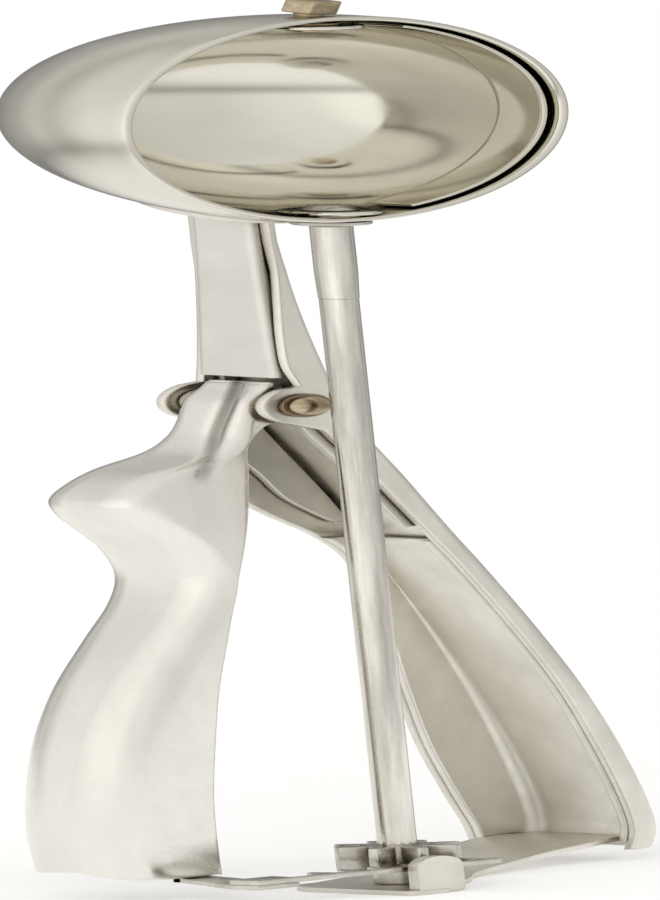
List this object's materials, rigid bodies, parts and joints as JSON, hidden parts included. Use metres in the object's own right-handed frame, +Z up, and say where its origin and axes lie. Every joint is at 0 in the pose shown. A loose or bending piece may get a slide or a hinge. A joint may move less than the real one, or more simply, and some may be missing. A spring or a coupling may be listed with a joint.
{
  "type": "ice cream scoop",
  "caption": "Squeeze-handle ice cream scoop: a hinged lever drives a rack and pinion that sweeps a scraper band round the inside of a half-ball bowl.",
  "frame": {"origin": "the middle of the object's bounding box in plan, at the height of the foot plate's underside", "axes": "+Z up along the shaft from the foot plate to the bowl, -Y out of the bowl's mouth, +X from the lever toward the fixed grip"},
  "size_m": [0.061, 0.033, 0.2185],
  "materials": {
    "polished_steel": "polished stainless steel sheet",
    "pressed_steel": "bright pressed stainless steel sheet",
    "drawn_steel": "bright drawn stainless steel rod and tube",
    "satin_steel": "satin stainless steel with cut and sheared edges",
    "brass": "plain brass, slightly tarnished",
    "dark_brass": "tarnished brass",
    "spring_steel": "bright spring wire"
  },
  "bodies": {
    "grip": {"bowl": "polished_steel", "bowl_saddle": "pressed_steel", "bowl_bush": "pressed_steel", "top_pin": "brass", "top_washer": "brass", "stem": "pressed_steel", "fixed_grip": "satin_steel", "grip_liner": "pressed_steel", "foot_spacer": "satin_steel", "pivot_rivet": "brass", "front_washer": "dark_brass", "back_washer": "dark_brass", "pivot_bush": "drawn_steel", "return_spring": "spring_steel"},
    "lever": {"lever": "polished_steel", "rack": "satin_steel"},
    "spindle": {"shaft": "drawn_steel", "shaft_sleeve": "drawn_steel", "pinion": "satin_steel", "scraper": "pressed_steel", "scraper_boss": "pressed_steel"}
  },
  "joints": [
    {"name": "lever_squeeze", "type": "hinge", "parent": "grip", "child": "lever", "pos_m": [-0.0045, 0.0026, 0.1184], "axis": [0, -1, 0], "range_deg": [0, 6], "stiffness_Nm_per_rad": 0.6, "springref_deg": -28.65},
    {"name": "spindle_turn", "type": "hinge", "parent": "grip", "child": "spindle", "pos_m": [-0.0045, -0.0085, 0], "axis": [0, 0, 1], "range_deg": [0, 156]}
  ],
  "couplings": [
    {"joint": "spindle_turn", "follows": "lever_squeeze", "ratio": 25.877}
  ]
}
